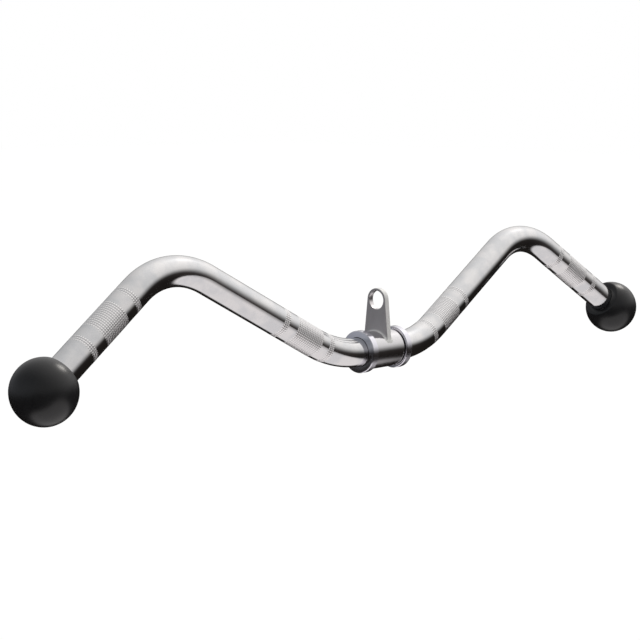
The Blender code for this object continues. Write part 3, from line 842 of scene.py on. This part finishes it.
def makeWorld():
    world = bpy.data.worlds.new("studio")
    bpy.context.scene.world = world
    world.use_nodes = True
    tree = world.node_tree
    tree.nodes.clear()
    spot = addNode(tree, "TexCoord")
    ray = addNode(tree, "VectorMath", {0: spot.outputs["Generated"]}, operation="NORMALIZE")
    height = addNode(tree, "SeparateXYZ", {0: ray}).outputs[2]

    def lobe(azimuth, elevation, power):
        # How much a ray looks that way, from 1 down to 0 at a right angle to it
        ahead = addNode(tree, "VectorMath", {0: ray, 1: compass(azimuth, elevation)}, operation="DOT_PRODUCT")
        ahead = addNode(tree, "Math", {0: ahead.outputs["Value"], 1: 0.0}, operation="MAXIMUM")
        return addNode(tree, "Math", {0: ahead, 1: power}, operation="POWER")

    glow = lobe(*studio["glow"], studio["glowPower"])
    glow = addNode(tree, "Math", {0: glow, 1: studio["glowGain"]}, operation="MULTIPLY")
    core = lobe(*studio["glow"], studio["corePower"])
    glow = addNode(tree, "Math", {0: core, 1: studio["coreGain"], 2: glow}, operation="MULTIPLY_ADD")
    glow = addNode(tree, "VectorMath", {0: studio["glowColour"], "Scale": glow}, operation="SCALE")
    slope = addNode(tree, "VectorMath", {0: ray, 1: studio["skySlope"]}, operation="DOT_PRODUCT")
    level = addNode(tree, "Math", {0: slope.outputs["Value"], 1: studio["skyLevel"]})
    cool = addNode(tree, "VectorMath", {0: ray, 1: compass(*studio["coolSide"])}, operation="DOT_PRODUCT")
    cool = addNode(tree, "Math", {0: cool.outputs["Value"], 1: studio["coolShare"]}, operation="MULTIPLY",
                   use_clamp=True)
    plain = addNode(
        tree, "Mix", {"Factor": cool, 4: studio["skyColour"], 5: studio["coolColour"]}, data_type="VECTOR")
    sky = addNode(tree, "VectorMath", {0: plain.outputs[1], "Scale": level}, operation="SCALE")
    sky = addNode(tree, "VectorMath", {0: sky, 1: glow}, operation="ADD")
    lowSide = lobe(studio["lowSide"], 0, studio["lowSidePower"])
    low = addNode(tree, "Math", {0: lowSide, 1: -studio["lowSideDrop"], 2: studio["horizonLow"]},
                  operation="MULTIPLY_ADD")
    haze = lobe(studio["hazeSide"], 0, studio["hazePower"])
    low = addNode(tree, "Math", {0: haze, 1: -studio["hazeDrop"], 2: low}, operation="MULTIPLY_ADD")
    ramp = addNode(tree, "MapRange", {"Value": height, "From Min": low, "From Max": studio["horizonHigh"]},
                   interpolation_type="SMOOTHSTEP")
    sky = addNode(tree, "VectorMath", {0: sky, "Scale": ramp}, operation="SCALE")
    haze = addNode(tree, "VectorMath", {0: studio["hazeColour"], "Scale": haze}, operation="SCALE")
    wall = lobe(studio["wallSide"], 0, studio["wallPower"])
    foot = addNode(
        tree, "MapRange", {"Value": height, "From Min": studio["wallLow"], "From Max": studio["wallHigh"]},
        interpolation_type="SMOOTHSTEP")
    wall = addNode(tree, "Math", {0: wall, 1: foot}, operation="MULTIPLY")
    fade = addNode(tree, "Math", {0: 1.0, 1: height}, operation="SUBTRACT")
    fade = addNode(tree, "Math", {0: fade, 1: studio["wallFade"]}, operation="POWER")
    wall = addNode(tree, "Math", {0: wall, 1: fade}, operation="MULTIPLY")
    total = addNode(tree, "VectorMath", {0: studio["wallColour"], "Scale": wall}, operation="SCALE")
    for part in (sky, studio["darkColour"], haze):
        total = addNode(tree, "VectorMath", {0: total, 1: part}, operation="ADD")
    room = addNode(tree, "Background", {"Color": total})
    white = addNode(tree, "Background", {"Color": (1, 1, 1, 1)})
    path = addNode(tree, "LightPath")
    mixed = addNode(tree, "MixShader", {0: path.outputs["Is Camera Ray"], 1: room, 2: white})
    addNode(tree, "OutputWorld", {"Surface": mixed})


def flatPiece(name, halfX, halfY, height):
    mesh = bpy.data.meshes.new(name)
    corners = ((-1, -1), (1, -1), (1, 1), (-1, 1))
    mesh.from_pydata([(x * halfX, y * halfY, height) for x, y in corners], [], [(0, 1, 2, 3)])
    return addObject(name, mesh)


def makeFloor():
    # Pale floor; the camera sees it white, save for the object's shadow
    floor = flatPiece("floor", studio["floorSize"] / 2, studio["floorSize"] / 2, studio["floorHeight"])
    made, tree, shader = newMaterial("paleFloor")
    setInputs(tree, shader, {"Base Color": hexColour("#E6E4E2"), "Roughness": 0.9})
    glow = addNode(tree, "Emission", {"Color": (1, 1, 1, 1), "Strength": studio["floorGlow"]})
    path = addNode(tree, "LightPath")
    seen = path.outputs["Is Camera Ray"]
    share = addNode(tree, "Math", {0: seen, 1: studio["floorGlowShare"]}, operation="MULTIPLY")
    mixed = addNode(tree, "MixShader", {0: share, 1: shader, 2: glow})
    setInputs(tree, tree.nodes["Material Output"], {"Surface": mixed})
    floor.data.materials.append(made)
    floor.visible_glossy = False


def makeSheet():
    # Soft-edged bright patch on the ground, seen by the metal alone; it dims towards the horizon
    edge, corner, (halfX, halfY) = studio["sheetEdge"], studio["sheetCorner"], studio["sheetHalf"]
    sheet = flatPiece("brightSheet", halfX + edge, halfY + edge, 0)
    sheet.location = studio["sheetCentre"]
    sheet.rotation_euler.z = studio["sheetTurn"]
    made, tree, shader = newMaterial("brightSheet")
    spot = addNode(tree, "TexCoord")
    away = addNode(tree, "VectorMath", {0: spot.outputs["Object"]}, operation="ABSOLUTE")
    past = addNode(
        tree, "VectorMath", {0: away, 1: (halfX - corner, halfY - corner, 0)}, operation="SUBTRACT")
    past = addNode(tree, "VectorMath", {0: past, 1: (0, 0, 0)}, operation="MAXIMUM")
    past = addNode(tree, "VectorMath", {0: past}, operation="LENGTH")
    depth = addNode(tree, "Math", {0: corner, 1: past.outputs["Value"]}, operation="SUBTRACT")
    inside = addNode(tree, "MapRange", {"Value": depth, "From Min": -edge, "From Max": edge},
                     interpolation_type="SMOOTHSTEP")
    place = addNode(tree, "NewGeometry")
    ray = addNode(tree, "VectorMath", {0: place.outputs["Position"]}, operation="NORMALIZE")
    drop = addNode(tree, "SeparateXYZ", {0: ray})
    fade = addNode(
        tree, "MapRange", {"Value": drop.outputs[2], "From Max": -studio["sheetFade"]},
        interpolation_type="SMOOTHSTEP")
    share = addNode(tree, "Math", {0: inside, 1: fade}, operation="MULTIPLY")
    bright = addNode(tree, "VectorMath", {0: studio["sheetColour"], "Scale": share}, operation="SCALE")
    bright = addNode(tree, "VectorMath", {0: bright, 1: studio["darkColour"]}, operation="ADD")
    glow = addNode(tree, "Emission", {"Color": bright})
    setInputs(tree, tree.nodes["Material Output"], {"Surface": glow})
    tree.nodes.remove(shader)
    sheet.data.materials.append(made)
    sheet.visible_camera = False


def makeLamp():
    # One small warm lamp, for the highlights on the balls and the bends
    light = bpy.data.lights.new("warmLamp", "AREA")
    light.shape = "DISK"
    light.size = studio["lampSize"]
    light.color = studio["lampColour"]
    area = pi * (studio["lampSize"] / 2) ** 2
    light.energy = studio["lampRadiance"] * area * pi
    lamp = addObject("warmLamp", light)
    towards = compass(*studio["lamp"])
    lamp.location = towards * studio["lampDistance"]
    lamp.rotation_euler = towards.to_track_quat("Z", "Y").to_euler()
    # The round chrome mirrors the soft studio alone, so the lamp leaves it out
    spared = bpy.data.collections.new("sparedByLamp")
    for name in studio["spared"]:
        spared.objects.link(bpy.data.objects[name])
    for entry in spared.collection_objects:
        entry.light_linking.link_state = "EXCLUDE"
    lamp.light_linking.receiver_collection = spared


makeWorld()
makeFloor()
makeSheet()
makeLamp()


# Camera at the photograph's viewpoint
view = {
    "lens": 97.56, "sensor": 36.0, "place": (-1.25811, -1.10491, 0.19854),
    "right": (0.68531, -0.72823, 0.00582), "down": (-0.09047, -0.09306, -0.99154),
    "forward": (0.72261, 0.67898, -0.12966),
}
camera = addObject("camera", bpy.data.cameras.new("camera"))
camera.data.lens, camera.data.sensor_width = view["lens"], view["sensor"]
camera.data.clip_end = 100
columns = Matrix((view["right"], [-c for c in view["down"]], [-c for c in view["forward"]])).transposed()
camera.matrix_world = Matrix.Translation(view["place"]) @ columns.to_4x4()
bpy.context.scene.camera = camera
print("studio and camera made")
